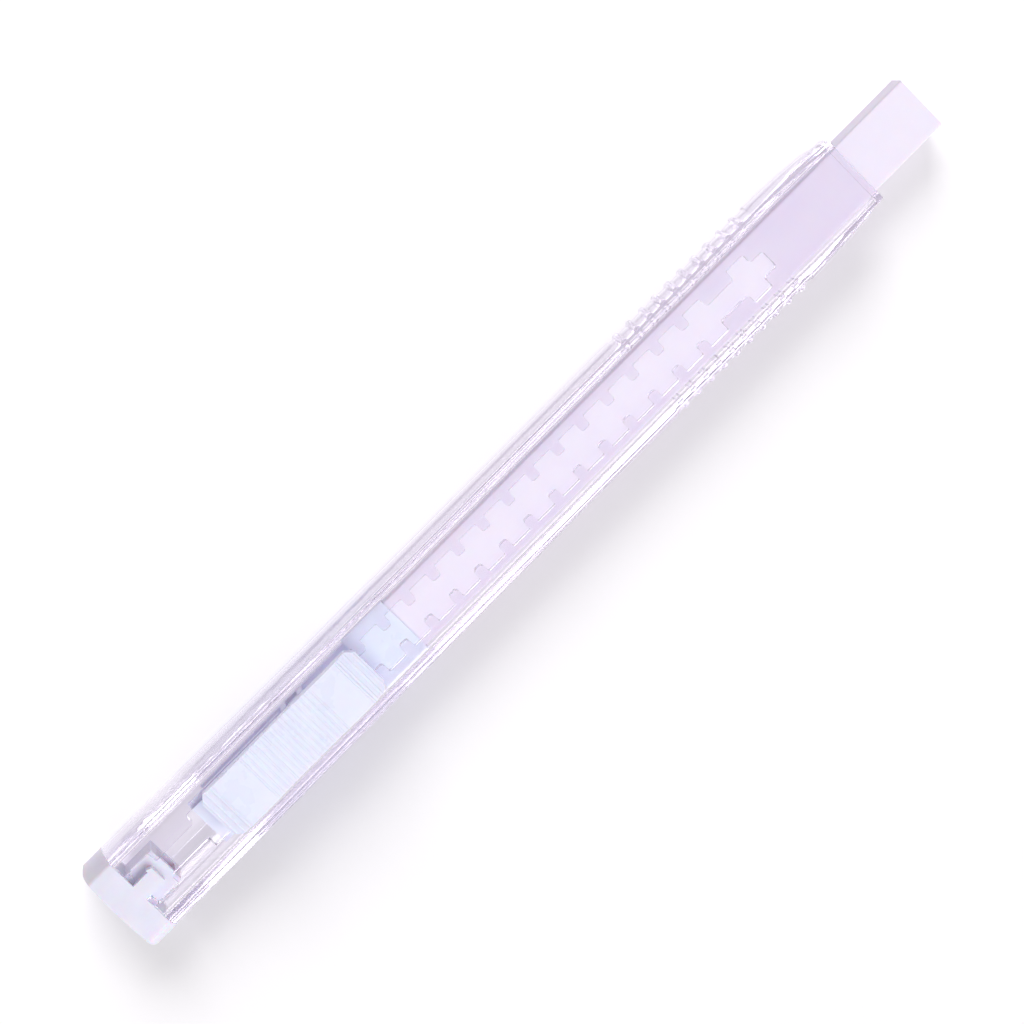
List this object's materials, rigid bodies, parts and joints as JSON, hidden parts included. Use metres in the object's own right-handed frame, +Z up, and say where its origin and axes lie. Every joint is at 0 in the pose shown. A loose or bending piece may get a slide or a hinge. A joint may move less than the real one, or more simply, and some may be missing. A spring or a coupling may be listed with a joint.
{
  "type": "slide-out stick eraser",
  "caption": "Slim hand-held stick eraser: a clear flat case with a ladder slot, a ribbed thumb slider with a notch latch, and a rectangular stick of eraser pushed out of the mouth.",
  "frame": {"origin": "on the plane it rests on, under the middle of the overall length", "axes": "+X along the case towards the eraser's tip, +Y across the case, +Z up, out of the top wall with the ladder slot"},
  "size_m": [0.13, 0.0124, 0.0117],
  "materials": {
    "clear_plastic": "clear moulded styrene plastic, polished",
    "milky_cap_plastic": "milky, cloudy polypropylene, satin",
    "milky_blue_plastic": "pale blue, cloudy polypropylene, satin",
    "eraser_vinyl": "white vinyl eraser, soft matt"
  },
  "bodies": {
    "holder": {"case": "clear_plastic", "end_cap": "milky_cap_plastic"},
    "carriage": {"carrier": "milky_blue_plastic"},
    "thumb": {"thumb_slider": "milky_blue_plastic"},
    "stick": {"eraser_stick": "eraser_vinyl"}
  },
  "joints": [
    {"name": "slider_travel", "type": "slide", "parent": "holder", "child": "carriage", "axis": [1, 0, 0], "range_m": [0, 0.072]},
    {"name": "thumb_press", "type": "slide", "parent": "carriage", "child": "thumb", "axis": [0, 0, -1], "range_m": [0, 0.0007], "stiffness_N_per_m": 3000, "springref_m": -0.0003},
    {"name": "eraser_pull", "type": "slide", "parent": "carriage", "child": "stick", "axis": [1, 0, 0], "range_m": [0, 0.0055]}
  ]
}
